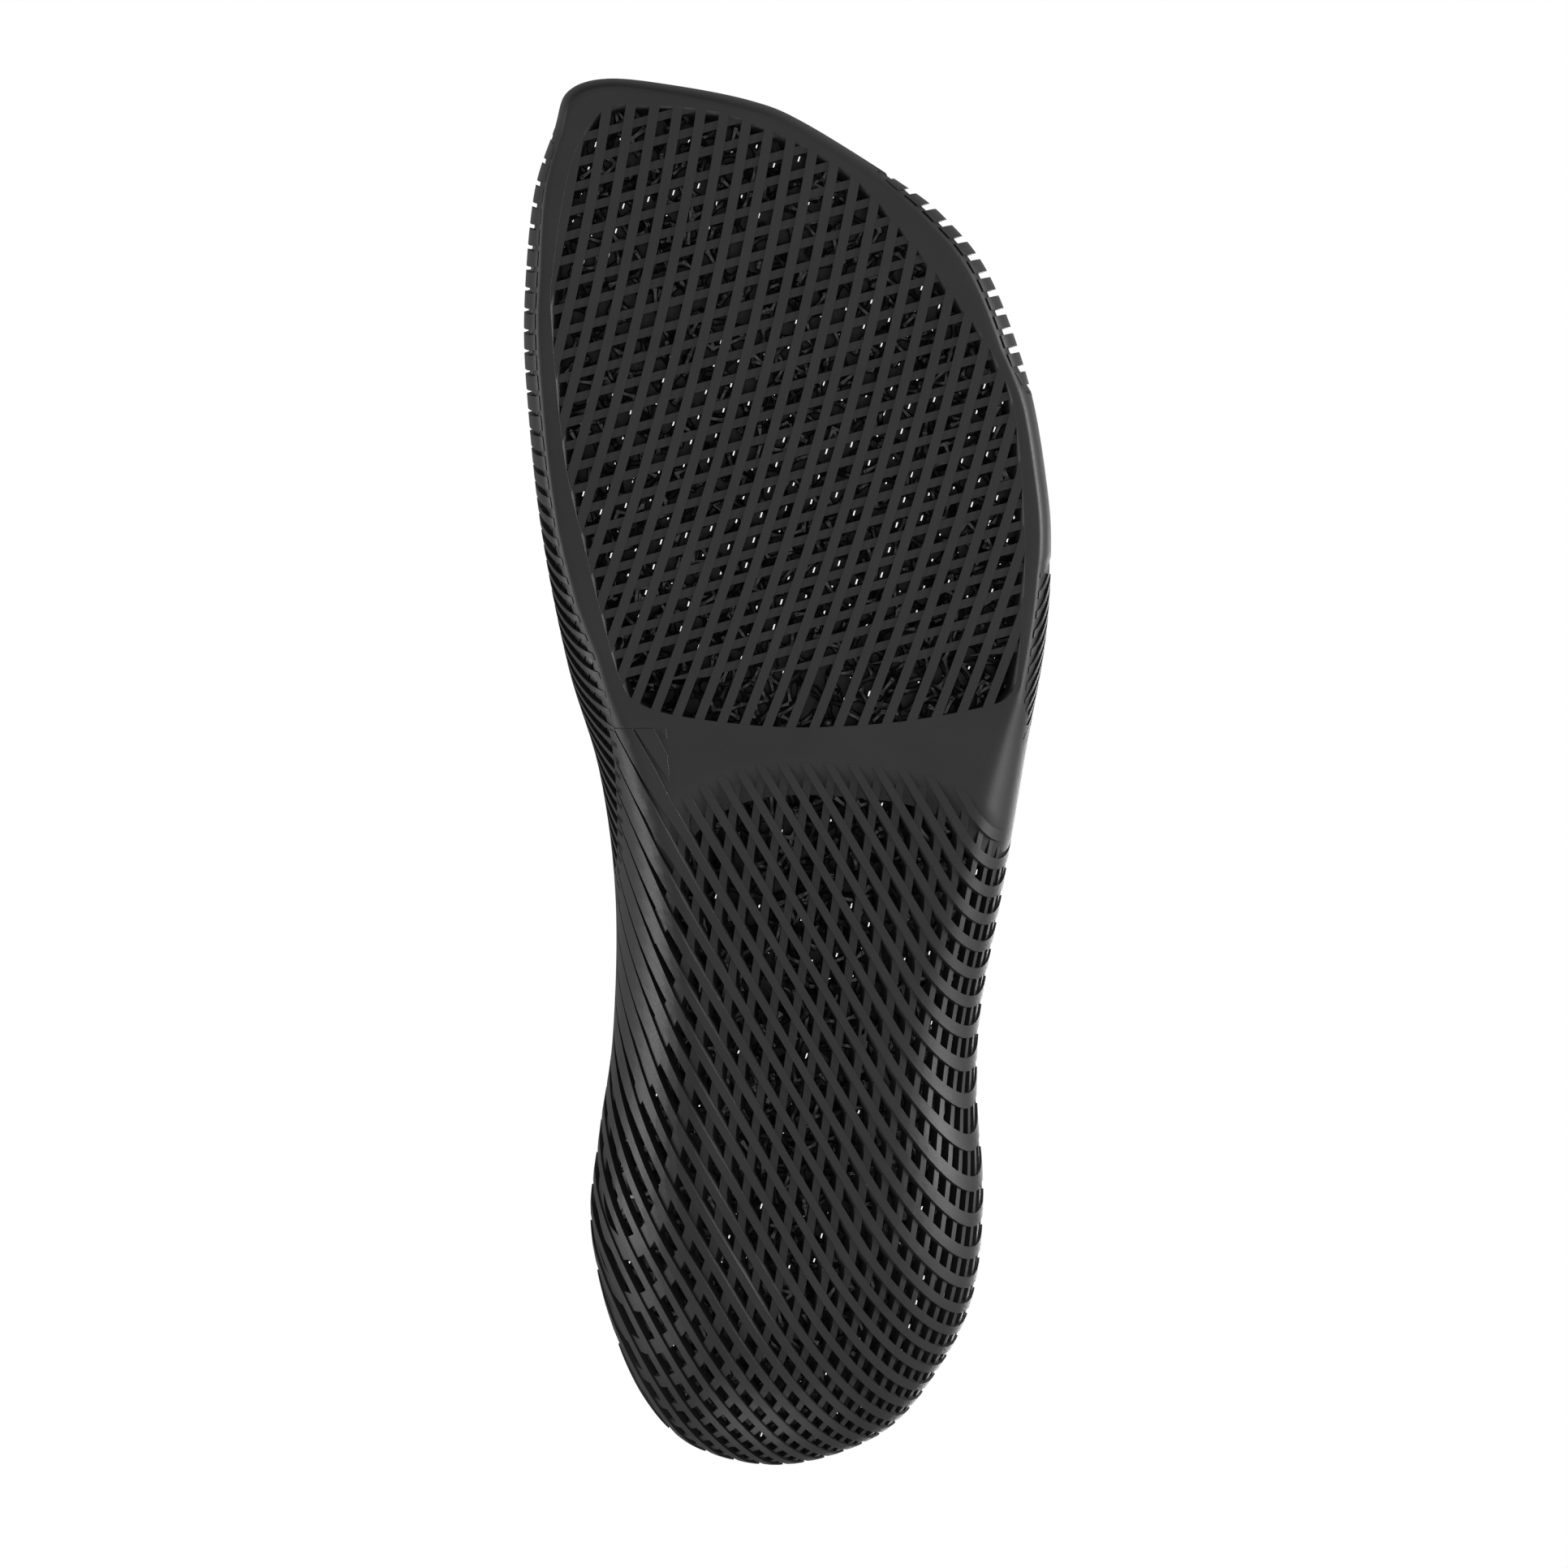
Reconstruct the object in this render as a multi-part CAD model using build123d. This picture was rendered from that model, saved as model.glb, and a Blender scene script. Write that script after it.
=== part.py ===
from build123d import *
import math
import os

# A left-foot cushioned insole, printed as open lattices. The sole side is down, on z = 0.
# +X is the inner (big toe) side, +Y the toe, +Z up. Everything is in millimetres.

# Driving sizes
STRAP = 1.2                 # thickness of one layer of straps
CLEAR = 0.3                 # between two layers, and between a strap's end and what holds it
PLATE = 1.8                 # thickness of the midfoot plate
FRAME_HEIGHT = 2.6
COLLAR_INSET = 1.9           # the ribs and the outer straps stand outside the collar
COLLAR_WIDTH = 3.1
COLLAR_HEIGHT = 2.4
RIB_DEPTH = 1.6
LONG_WIDTH, CROSS_WIDTH = 1.85, 1.6
LONG_PITCH = 4.5
CROSS_LEAN = 0.268          # a cross strap's slope, towards the toe on the outer side
PLATE_END = 8.7             # where the midfoot plate meets the forefoot frame
CORE_INSET = 3.0            # the cushions lie this far behind every outer face
HEEL_CUSHION_END = -20.0
RIBS_FROM = -24.0
RIBS_SPLIT = 10.0           # the inner side's ribs lie beyond this x, the outer side's before it
TALL = 60.0
OUTLINE_STEPS = 84
SECTION_POINTS = 9          # across each section of the footbed and the cushions
UNDER_FOOTBED = 6.5         # the inner heel straps end this far below the wall's edge

# The plan outline, from the big toe round the outer side and the heel to the inner side
OUTLINE = [
    (34.5, 132.5), (21.5, 131.2), (7, 128.3), (-3, 124.2), (-21, 113), (-30, 106), (-38.5, 95),
    (-46, 74.5), (-49.5, 55), (-50.3, 42), (-49.2, 25), (-45.5, 4), (-41, -23), (-37, -45),
    (-36.3, -62), (-37.5, -81), (-35.5, -100), (-29, -114), (-18, -126.5), (0, -132.5),
    (17, -129.5), (27, -120.5), (34, -105), (37.8, -86), (36, -68), (33.5, -50), (33, -24),
    (36, 0), (42, 20.5), (47, 46), (49.6, 70), (50.3, 88), (48.5, 110), (44.5, 123), (42, 130),
]
# The forefoot window in the frame, and the arch where the plate gives way to the heel lattice
WINDOW = [
    (28, 127.2), (33.5, 127), (38, 123), (41.8, 114), (44.7, 96), (45, 86), (42.6, 60.6),
    (38.7, 43), (34.8, 27.5), (31.8, 17.5), (28.5, 13.3), (19.4, 10.6), (0, 8.7), (-20, 9.6),
    (-37.5, 12.6), (-42.3, 15), (-43.8, 20), (-45.2, 42), (-43.5, 67), (-40.4, 77), (-33.9, 87.7),
    (-16, 110), (-6, 117.8), (6.3, 123.7), (16, 126.3),
]
HEEL_ARCH = [(-48, -32), (-38, -16.6), (-28, -7.5), (-12, -4.6), (5, -4.8), (17, -10.4),
             (26.3, -24), (31, -30.5), (46, -50)]
SPINE = [(0, -91), (-2, -20), (0, 50), (16, 98)]

# Values along the foot, as (y, value): first the inner side, then the outer side
ROUNDING = ([(-132, 34), (-110, 30), (-90, 26), (-60, 20), (-30, 14), (0, 9), (14, 7.5), (22, 7),
             (32, 5), (45, 3.8), (62, 3.5), (95, 3.3), (118, 2.4), (132, 2.2)],
            [(-132, 34), (-110, 30), (-90, 24), (-60, 18), (-30, 12), (0, 7), (14, 4.5), (27, 3.4),
             (45, 2.6), (70, 2.6), (82, 3.6), (106, 3.6), (118, 2.6), (132, 2.2)])
EDGE_HEIGHT = ([(-132, 26), (-60, 26.5), (-15, 27), (10, 22), (32, 15), (60, 11.5), (90, 10.5),
                (132, 9.6)],
               [(-132, 26), (-60, 24), (-20, 18), (15, 12.5), (45, 10.8), (90, 10.2), (132, 9.6)])
# How far inside the outline the frame ends. Below zero it takes in the whole wall.
FRAME_INSET = ([(-24, -1), (-16, 1), (-3, 2.7), (9, 4.3), (21, 5), (32, 3.2), (44, 2.3), (62, 2),
                (93, 1.9), (108, 1.1), (118, 0.6), (124, -1)],
               [(8, -1), (14, 1.2), (27, 1.7), (38, 1), (45, -1), (70, -1), (74, 0.5), (80, 1.9),
                (108, 1.9), (113, 0.5), (118, -1)])
THICKNESS = [(-132, 13), (-60, 13), (-15, 12), (20, 10.5), (50, 9.2), (132, 8.6)]
CROSS_PITCH = [(-20, 3.3), (16, 3.5), (24, 3.9), (39, 4.15), (62, 4.28), (85, 4.4), (108, 4.5)]
LEVELS = [0.0, 0.5, 1.5, 3.0, 5.0, 8.0, 12.0, 17.0, 24.0, 36.0]
EDGE_START = 0.85           # the wall stands upright from this share of its height
CUP_POWER = 3.5             # how suddenly the footbed turns up into the wall


def along(stations, y):
    """The value at y, straight between the stations."""
    if y <= stations[0][0]:
        return stations[0][1]
    for (y0, v0), (y1, v1) in zip(stations, stations[1:]):
        if y <= y1:
            return v0 + (v1 - v0) * (y - y0) / (y1 - y0)
    return stations[-1][1]


def spine_point(x, y):
    """The nearest point of the spine."""
    best = None
    for (ax, ay), (bx, by) in zip(SPINE, SPINE[1:]):
        t = ((x - ax) * (bx - ax) + (y - ay) * (by - ay)) / ((bx - ax) ** 2 + (by - ay) ** 2)
        t = min(1.0, max(0.0, t))
        px, py = ax + t * (bx - ax), ay + t * (by - ay)
        far = math.hypot(x - px, y - py)
        if best is None or far < best[0]:
            best = (far, px, py)
    return best[1], best[2]


def sided(pair, x, y):
    """A value for this place: the inner side's list turns smoothly into the outer side's."""
    inner = min(1.0, max(0.0, 0.5 + (x - spine_point(x, y)[0]) / 30.0))
    return inner * along(pair[0], y) + (1 - inner) * along(pair[1], y)


def profile_inset(x, y, z):
    """How far the rounded wall lies inside the outline at height z."""
    height = EDGE_START * sided(EDGE_HEIGHT, x, y)
    drop = max(0.0, 1.0 - z / height)
    return sided(ROUNDING, x, y) * (1.0 - math.sqrt(1.0 - drop * drop))


def inward(x, y, inset):
    """The point this far from the outline's point (x, y), towards the spine."""
    px, py = spine_point(x, y)
    far = math.hypot(px - x, py - y)
    return x + (px - x) * inset / far, y + (py - y) * inset / far


OUTLINE_EDGE = Edge.make_spline([Vector(x, y, 0) for x, y in OUTLINE], periodic=True)
OUTLINE_POINTS = [(p.X, p.Y) for p in
                  (OUTLINE_EDGE.position_at(i / OUTLINE_STEPS) for i in range(OUTLINE_STEPS))]


def inset_of(x, y):
    """How far a point lies inside the outline, measured on the line away from the spine."""
    px, py = spine_point(x, y)
    dx, dy = x - px, y - py
    far = math.hypot(dx, dy)
    if far < 1e-6:
        return 30.0
    dx, dy = dx / far, dy / far
    reach = 0.0
    for (ax, ay), (bx, by) in zip(OUTLINE_POINTS, OUTLINE_POINTS[1:] + OUTLINE_POINTS[:1]):
        ex, ey = bx - ax, by - ay
        cross = dx * ey - dy * ex
        if abs(cross) < 1e-9:
            continue
        t = ((ax - px) * ey - (ay - py) * ex) / cross
        u = ((ax - px) * dy - (ay - py) * dx) / cross
        if t > 0 and -1e-9 <= u <= 1 + 1e-9:
            reach = max(reach, t)
    return reach - far


def footbed(x, y):
    """The height of the footbed: a dish that turns up to the wall round the heel and the arch."""
    thick = along(THICKNESS, y)
    px, py = spine_point(x, y)
    far = math.hypot(x - px, y - py)
    out = far / (far + inset_of(x, y))
    rise = sided(EDGE_HEIGHT, x, y) - thick
    return thick + rise * min(out, 1.0) ** CUP_POWER


def core_floor(x, y):
    """The underside of a cushion, CORE_INSET inside the rounded wall."""
    rounding = sided(ROUNDING, x, y)
    side = min(1.0, max(0.0, 1.0 - (inset_of(x, y) - CORE_INSET) / rounding))
    return CORE_INSET + EDGE_START * sided(EDGE_HEIGHT, x, y) * (1 - math.sqrt(1 - side * side))


def closed_curve(points, z=0.0):
    return Wire([Edge.make_spline([Vector(x, y, z) for x, y in points], periodic=True)])


def body(offset):
    """The whole outer shape below the footbed, pulled in by offset on every side."""
    rings = []
    for z in LEVELS:
        points = [inward(x, y, profile_inset(x, y, z) + offset) for x, y in OUTLINE_POINTS]
        rings.append(closed_curve(points, z + offset))
    return Solid.make_loft(rings, ruled=True)


def plan_prism(points, low=-5.0):
    return Solid.extrude(Face(closed_curve(points, low)), Vector(0, 0, TALL))


def zone(low_y, high_y, low_x=-100.0, high_x=100.0, high_z=100.0):
    middle = ((low_x + high_x) / 2, (low_y + high_y) / 2, high_z - 100)
    return Pos(*middle) * Box(high_x - low_x, high_y - low_y, 200)


def under_edge(drop):
    """Everything below the wall's upper edge, lowered by drop."""
    halves = []
    for stations, side in zip(EDGE_HEIGHT, (1, -1)):
        top = [(0, y, z - drop) for y, z in [(-150, stations[0][1])] + stations
               + [(150, stations[-1][1])]]
        wire = Wire.make_polygon([(0, -150, -5)] + top + [(0, 150, -5)], close=True)
        halves.append(Solid.extrude(Face(wire), Vector(70 * side, 0, 0)))
    return halves[0] + halves[1]


def heel_region():
    edges = [Spline(*HEEL_ARCH).edge(),
             *Polyline(HEEL_ARCH[-1], (60, -140), (-60, -140), HEEL_ARCH[0]).edges()]
    return Solid.extrude(Face(Wire(edges)), Vector(0, 0, TALL)).moved(Location((0, 0, -5)))


def fan(y):
    """How far a long strap has moved to the inner side by y: it leans more and more."""
    t = 108.5 - y
    return 0.19 * t + 0.00105 * t * t


def fan_strip(start, low):
    ys = [-10 + 25 * i for i in range(7)]
    half = LONG_WIDTH / 2 * 1.04
    left = Spline(*[(start + fan(y) - half, y) for y in ys])
    right = Spline(*[(start + fan(y) + half, y) for y in ys])
    face = Face(Wire([left.edge(), right.edge(), Line(left @ 0, right @ 0).edge(),
                      Line(left @ 1, right @ 1).edge()]))
    return Solid.extrude(face, Vector(0, 0, STRAP)).moved(Location((0, 0, low)))


def cross_stations(low, high):
    y, found = high, []
    while y > low:
        found.append(y)
        y -= along(CROSS_PITCH, y)
    return found


def cross_strip(y, low):
    lean = math.degrees(math.atan(-CROSS_LEAN))
    return Pos(0, y, low + STRAP / 2) * Rot(0, 0, lean) * Box(140, CROSS_WIDTH, STRAP)


def trimmed(strips, blank):
    kept = []
    for strip in strips:
        got = blank & strip
        if got is not None:
            kept += [s for s in got.solids() if s.volume > 1.0]
    return kept


def half_width(y, inset, inner):
    """Where the line at y comes within inset of the outline, on one side."""
    way = 1 if inner else -1
    x = spine_point(0, y)[0]
    while inset_of(x + way, y) > inset:
        x += way
    step = 0.5
    while step > 0.01:
        if inset_of(x + way * step, y) > inset:
            x += way * step
        step /= 2
    return x


def layer(stations, inset, floor, roof):
    """A closed solid between two heights, lofted through sections along the foot."""
    wires = []
    for y in stations:
        left, right = half_width(y, inset, False), half_width(y, inset, True)
        xs = [left + (right - left) * i / (SECTION_POINTS - 1) for i in range(SECTION_POINTS)]
        low = Edge.make_spline([Vector(x, y, floor(x, y)) for x in xs])
        high = Edge.make_spline([Vector(x, y, roof(x, y)) for x in xs])
        wires.append(Wire([low, Edge.make_line(low @ 1, high @ 1), high,
                           Edge.make_line(high @ 0, low @ 0)]))
    return Solid.make_loft(wires, ruled=True)


def footbed_layer(drop):
    stations = [-124, -116, -104, -88, -70, -50, -30, -10, 10, 30, 55, 80, 100, 112, 120]
    inset = COLLAR_INSET + COLLAR_WIDTH + CLEAR
    return layer(stations, inset, lambda x, y: footbed(x, y) - drop - STRAP,
                 lambda x, y: footbed(x, y) - drop)


def cushion(stations):
    return layer(stations, 2 * CORE_INSET, core_floor, lambda x, y: footbed(x, y) - CORE_INSET)


def collar():
    """The band round the footbed's edge: one closed ring of flat facets."""
    sections = []
    for x, y in OUTLINE_POINTS[::2]:
        outer_x, outer_y = inward(x, y, COLLAR_INSET)
        inner_x, inner_y = inward(x, y, COLLAR_INSET + COLLAR_WIDTH)
        outer_z, inner_z = footbed(outer_x, outer_y), footbed(inner_x, inner_y)
        sections.append([(outer_x, outer_y, outer_z), (inner_x, inner_y, inner_z),
                         (inner_x, inner_y, inner_z - COLLAR_HEIGHT),
                         (outer_x, outer_y, outer_z - COLLAR_HEIGHT)])
    faces = []
    for one, two in zip(sections, sections[1:] + sections[:1]):
        for i in range(4):
            j = (i + 1) % 4
            faces.append(Face(Wire.make_polygon([one[i], one[j], two[j]], close=True)))
            faces.append(Face(Wire.make_polygon([one[i], two[j], two[i]], close=True)))
    return Solid(Shell(faces))


def side_ribs(band, plan, inner):
    """The closed band that one side's ribs fill, round the frame and the plate."""
    low_x, high_x = (RIBS_SPLIT, 100) if inner else (-100, RIBS_SPLIT)
    low_y = RIBS_FROM if inner else PLATE_END + CLEAR
    piece = band & zone(low_y, 200, low_x, high_x)
    covered = plan & zone(PLATE_END - CLEAR, 200, high_z=FRAME_HEIGHT + CLEAR)
    piece = piece - covered
    return piece - (plan & zone(-200, PLATE_END + CLEAR)) if inner else piece


def save(name, shapes):
    shapes = shapes if isinstance(shapes, list) else [shapes]
    solids = [s for shape in shapes for s in shape.solids()]
    export_step(Compound(children=solids), f"parts/{name}.step")
    print(name, len(solids), round(sum(s.volume for s in solids)), flush=True)


def main():
    os.makedirs("parts", exist_ok=True)
    outer = body(0)
    plan = plan_prism([inward(x, y, sided(FRAME_INSET, x, y)) for x, y in OUTLINE_POINTS])
    window = plan_prism(WINDOW)
    heel = heel_region()
    edge = under_edge(0)

    save("forefoot_frame", (outer & plan & zone(PLATE_END, 200, high_z=FRAME_HEIGHT)) - window)
    plate = (outer - body(PLATE)) & plan & edge & zone(-200, PLATE_END)
    save("midfoot_plate", plate - window - heel)

    strips = [fan_strip(-75 + i * LONG_PITCH, 0) for i in range(30)]
    save("forefoot_long_straps", trimmed(strips, window))
    strips = [cross_strip(y, STRAP + CLEAR) for y in cross_stations(0, 145)]
    save("forefoot_cross_straps", trimmed(strips, window))

    save("heel_outer_straps", (outer - body(STRAP)) & heel & edge)
    inner_low = STRAP + CLEAR
    inner_shell = body(inner_low) - body(inner_low + STRAP)
    save("heel_inner_straps", inner_shell & heel & under_edge(UNDER_FOOTBED))

    band = (outer - body(RIB_DEPTH)) & edge
    save("inner_side_ribs", side_ribs(band, plan, True))
    save("outer_side_ribs", side_ribs(band, plan, False))

    save("wall_collar", collar())
    save("heel_cushion", cushion([-123, -115, -103, -88, -70, -50, -35, HEEL_CUSHION_END]))
    save("midfoot_cushion", cushion([HEEL_CUSHION_END + CLEAR, -6, PLATE_END - CLEAR]))
    save("forefoot_cushion", cushion([PLATE_END, 25, 45, 65, 85, 100, 112, 119]))
    save("footbed_upper_straps", footbed_layer(0))
    save("footbed_lower_straps", footbed_layer(STRAP + CLEAR))


main()
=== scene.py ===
import math

import bpy
import numpy as np
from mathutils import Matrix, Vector
from mathutils.geometry import tessellate_polygon


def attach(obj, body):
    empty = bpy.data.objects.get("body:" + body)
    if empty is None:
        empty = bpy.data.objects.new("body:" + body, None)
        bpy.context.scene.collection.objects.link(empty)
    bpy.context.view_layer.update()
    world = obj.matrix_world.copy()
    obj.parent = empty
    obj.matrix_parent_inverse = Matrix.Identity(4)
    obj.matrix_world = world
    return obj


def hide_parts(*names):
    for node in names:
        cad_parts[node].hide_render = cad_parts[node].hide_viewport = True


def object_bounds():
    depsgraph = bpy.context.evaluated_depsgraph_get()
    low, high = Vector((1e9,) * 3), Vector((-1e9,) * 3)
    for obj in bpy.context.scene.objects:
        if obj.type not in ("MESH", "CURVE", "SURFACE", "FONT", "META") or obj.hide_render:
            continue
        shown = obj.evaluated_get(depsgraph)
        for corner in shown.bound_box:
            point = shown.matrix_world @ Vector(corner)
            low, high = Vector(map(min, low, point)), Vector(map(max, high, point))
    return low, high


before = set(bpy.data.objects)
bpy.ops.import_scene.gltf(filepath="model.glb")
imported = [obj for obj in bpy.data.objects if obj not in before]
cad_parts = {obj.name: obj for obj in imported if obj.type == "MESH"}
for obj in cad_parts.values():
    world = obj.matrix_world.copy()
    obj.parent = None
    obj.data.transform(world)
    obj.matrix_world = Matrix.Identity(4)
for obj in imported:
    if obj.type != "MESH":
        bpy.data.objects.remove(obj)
CAD_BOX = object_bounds()

# A left-foot insole printed as open lattices. Shapes are worked out in millimetres, sole down on
# z = 0, the big toe side at +X and the toe at +Y, and turned into metres when a mesh is made.
MM = 0.001
SEED = 7

# The plan outline, from the big toe round the outer side and the heel to the inner side
OUTLINE = [
    (34.5, 132.5), (21.5, 131.2), (7, 128.3), (-3, 124.2), (-21, 113), (-30, 106), (-38.5, 95),
    (-46, 74.5), (-49.5, 55), (-50.3, 42), (-49.2, 25), (-45.5, 4), (-41, -23), (-37, -45),
    (-36.3, -62), (-37.5, -81), (-35.5, -100), (-29, -114), (-18, -126.5), (0, -132.5),
    (17, -129.5), (27, -120.5), (34, -105), (37.8, -86), (36, -68), (33.5, -50), (33, -24),
    (36, 0), (42, 20.5), (47, 46), (49.6, 70), (50.3, 88), (48.5, 110), (44.5, 123), (42, 130),
]
WINDOW = [
    (28, 127.2), (33.5, 127), (38, 123), (41.8, 114), (44.7, 96), (45, 86), (42.6, 60.6),
    (38.7, 43), (34.8, 27.5), (31.8, 17.5), (28.5, 13.3), (19.4, 10.6), (0, 8.7), (-20, 9.6),
    (-37.5, 12.6), (-42.3, 15), (-43.8, 20), (-45.2, 42), (-43.5, 67), (-40.4, 77), (-33.9, 87.7),
    (-16, 110), (-6, 117.8), (6.3, 123.7), (16, 126.3),
]
HEEL_ARCH = [(-48, -32), (-38, -16.6), (-28, -7.5), (-12, -4.6), (5, -4.8), (17, -10.4),
             (26.3, -24), (31, -30.5), (46, -50)]
SPINE = [(0, -91), (-2, -20), (0, 50), (16, 98)]
PLATE_END = 8.7
SIDE_BLEND = 30.0

# Values along the foot, as (y, value): first the inner side, then the outer side
ROUNDING = ([(-132, 34), (-110, 30), (-90, 26), (-60, 20), (-30, 14), (0, 9), (14, 7.5), (22, 7),
             (32, 5), (45, 3.8), (62, 3.5), (95, 3.3), (118, 2.4), (132, 2.2)],
            [(-132, 34), (-110, 30), (-90, 24), (-60, 18), (-30, 12), (0, 7), (14, 4.5), (27, 3.4),
             (45, 2.6), (70, 2.6), (82, 3.6), (106, 3.6), (118, 2.6), (132, 2.2)])
EDGE_HEIGHT = ([(-132, 26), (-60, 26.5), (-15, 27), (10, 22), (32, 15), (60, 11.5), (90, 10.5),
                (132, 9.6)],
               [(-132, 26), (-60, 24), (-20, 18), (15, 12.5), (45, 10.8), (90, 10.2), (132, 9.6)])
FRAME_INSET = ([(-24, -1), (-16, 1), (-3, 2.7), (9, 4.3), (21, 5), (32, 3.2), (44, 2.3), (62, 2),
                (93, 1.9), (108, 1.1), (118, 0.6), (124, -1)],
               [(8, -1), (14, 1.2), (27, 1.7), (38, 1), (45, -1), (70, -1), (74, 0.5), (80, 1.9),
                (108, 1.9), (113, 0.5), (118, -1)])
THICKNESS = [(-132, 13), (-60, 13), (-15, 12), (20, 10.5), (50, 9.2), (132, 8.6)]
CROSS_PITCH = [(-20, 3.3), (16, 3.5), (24, 3.9), (39, 4.15), (62, 4.28), (85, 4.4), (108, 4.5)]
EDGE_START = 0.85
EDGE_CAP, CUP_CAP = 1.1, 0.12
CUP_POWER = 3.5

# How finely the curved surfaces are made
WALL_STEPS, SOLE_STEPS, FOOTBED_STEPS = 16, 36, 44
LAST_RING = 0.97
SHEET_STEP = 1.5

# Straps and layers
STRAP = 1.2
FIRST_LAYER, SECOND_LAYER = 0.03, 0.4
# The forefoot straps' own widths, and how much their slanted measure stretches them
LONG_WIDTH, CROSS_WIDTH = 1.85 * 1.04, 1.6 * 1.03
HEEL_OUTER_WIDTH, HEEL_INNER_WIDTH = 1.5, 1.6
LONG_PITCH, HEEL_PITCH = 4.5, 4.43
RIB_WIDTH, RIB_DEPTH = 1.4, 1.6
RIBS_END, WALLS_PART = 38, 14.0
BACKING_WIDTH, BACKING_PITCH = 2.6, 3.2
TOOTH_WIDTH, TOOTH_PITCH, TOOTH_DEPTH = 2.6, 3.95, 2.4
TEETH = (72.0, 116)
SKIN_DEPTH, EDGE_ROUND = 1.8, 2.2
FRAME_TOP, PLATE_TAIL = 4.6, -62
COLLAR_INSET, COLLAR_INNER, COLLAR_HEIGHT, COLLAR_SIDES = 1.9, 5.0, 2.4, 16
COLLAR_OUTER = ([(-132, 0.25), (40, 0.25), (60, 0.9), (116, 0.9), (123, 0.3), (132, 0.3)],
                [(-132, 0.25), (66, 0.25), (72, 1.9), (118, 1.9), (122, 0.3), (132, 0.3)])
CROSS_LEAN = 0.268
CUT_HEEL_OUTER = (1.0, -0.6, 0.5)
CUT_HEEL_INNER = (1.0, 0.15, -1.0)
CUT_FOOTBED_UPPER = (CROSS_LEAN, 1.0, 0.0)
CUT_FOOTBED_LOWER = (1.0, 0.3, 0.0)
FOOTBED_WIDTH, FOOTBED_LOWER_WIDTH, FOOTBED_PITCH = 3.5, 4.15, 4.4

# The strut core: the room left to the layers round it, and its lattice
CORE_ROOM, CORE_FLOOR, CORE_INSET = 2.4, 2.6, 2.6
LATTICE_TURN, LATTICE_TIP, SHAKE, LINK_REACH = 0.4, 0.5, 0.13, 1.45
STRUT_SIDES = 6


# ---------------------------------------------------------------- the shape of the insole
def closed_spline(points, count):
    """Evenly spaced points on a smooth closed curve through the given ones."""
    p = np.array(points, float)
    before, here, after, later = np.roll(p, 1, 0), p, np.roll(p, -1, 0), np.roll(p, -2, 0)
    t = np.linspace(0, 1, 24, endpoint=False)[:, None, None]
    curve = 0.5 * (2 * here + (after - before) * t + (2 * before - 5 * here + 4 * after - later)
                   * t ** 2 + (3 * here - before - 3 * after + later) * t ** 3)
    curve = curve.transpose(1, 0, 2).reshape(-1, 2)
    loop = np.vstack([curve, curve[:1]])
    run = np.concatenate([[0], np.cumsum(np.linalg.norm(np.diff(loop, axis=0), axis=1))])
    at = np.linspace(0, run[-1], count, endpoint=False)
    return np.stack([np.interp(at, run, loop[:, 0]), np.interp(at, run, loop[:, 1])], 1)


RIM = closed_spline(OUTLINE, 720)
WINDOW_LINE = closed_spline(WINDOW, 400)


def along(stations, y):
    """A value between the stations given along the foot."""
    ys, values = zip(*stations)
    return np.interp(y, ys, values)


def spine_points(p):
    """The nearest point of the spine to each point."""
    best, far = np.zeros_like(p), np.full(len(p), 1e9)
    for a, b in zip(np.array(SPINE, float), np.array(SPINE[1:], float)):
        t = np.clip((p - a) @ (b - a) / ((b - a) @ (b - a)), 0, 1)
        q = a + t[:, None] * (b - a)
        d = np.linalg.norm(p - q, axis=1)
        nearer = d < far
        best[nearer], far[nearer] = q[nearer], d[nearer]
    return best


def sided(pair, p):
    """A value from the inner side's stations and the outer side's, blended across the spine."""
    inner = np.clip(0.5 + (p[:, 0] - spine_points(p)[:, 0]) / SIDE_BLEND, 0, 1)
    return inner * along(pair[0], p[:, 1]) + (1 - inner) * along(pair[1], p[:, 1])


def inward(p, inset):
    """Points moved towards the spine, by one inset or by one for each point."""
    way = spine_points(p) - p
    return p + way * (inset / np.linalg.norm(way, axis=1))[:, None]


def wall_ring(turn, offset):
    """The outline's ring a part of the way down the rounded wall: turn 0 is its top, 1 its foot."""
    height = EDGE_START * sided(EDGE_HEIGHT, RIM)
    angle = turn * math.pi / 2
    inset = sided(ROUNDING, RIM) * (1 - math.cos(angle)) + offset
    xy = inward(RIM, inset)
    return np.column_stack([xy, height * (1 - math.sin(angle)) + offset * math.sin(angle)])


def footbed_z(p, out):
    """The footbed's height where out is 0 at the spine and 1 at the outline."""
    thick = along(THICKNESS, p[:, 1])
    return thick + (sided(EDGE_HEIGHT, p) - thick) * out ** CUP_POWER


def inset_of(p):
    """How far each point lies inside the outline, on the line away from the spine."""
    c = spine_points(p)
    way = p - c
    far = np.linalg.norm(way, axis=1)
    way = way / np.maximum(far, 1e-6)[:, None]
    a, b = RIM[::3], np.roll(RIM[::3], -1, 0)
    e = b - a
    reach = np.zeros(len(p))
    for start in range(0, len(p), 4000):
        s = slice(start, start + 4000)
        cross = way[s, None, 0] * e[None, :, 1] - way[s, None, 1] * e[None, :, 0]
        cross = np.where(np.abs(cross) < 1e-9, 1e-9, cross)
        rel = a[None] - c[s, None]
        t = (rel[..., 0] * e[None, :, 1] - rel[..., 1] * e[None, :, 0]) / cross
        u = (rel[..., 0] * way[s, None, 1] - rel[..., 1] * way[s, None, 0]) / cross
        hit = (t > 0) & (u >= -0.002) & (u <= 1.002)
        reach[s] = np.where(hit, t, 0).max(1)
    return np.where(far < 1e-6, 30.0, reach - far)


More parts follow.
